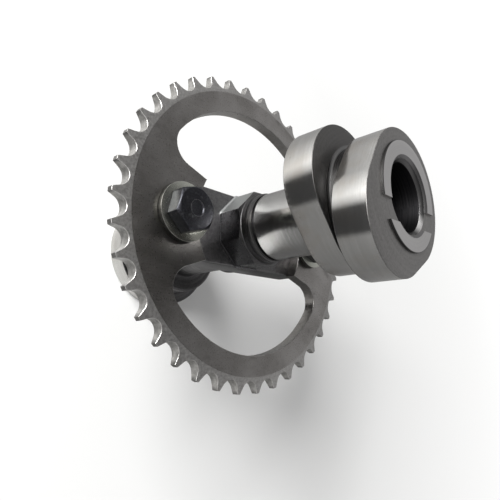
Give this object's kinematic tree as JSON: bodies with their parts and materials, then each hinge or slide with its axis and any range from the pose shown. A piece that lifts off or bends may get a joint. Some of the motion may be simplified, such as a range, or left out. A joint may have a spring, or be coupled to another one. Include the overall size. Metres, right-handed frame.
{
  "type": "camshaft",
  "caption": "Short camshaft with cam lobes, ground journals, an end bore, a spanner section and a bolted chain sprocket with a large opening.",
  "frame": {"origin": "centre of the far journal's end face, where the shaft stands upright", "axes": "+Z along the shaft axis from the far journal to the cam lobes, X through the two sprocket bolts"},
  "size_m": [0.0804, 0.0804, 0.0838],
  "materials": {
    "camshaft": "ground journals and lobes, dark as-cast flange",
    "sprocket": "satin hardened steel with worn bright tooth edges",
    "sprocket_bolts": "black oxide",
    "washers": "dull zinc plate"
  },
  "bodies": {
    "root": {"camshaft": "camshaft", "sprocket": "sprocket", "sprocket_bolts": "sprocket_bolts", "washers": "washers"}
  },
  "joints": []
}
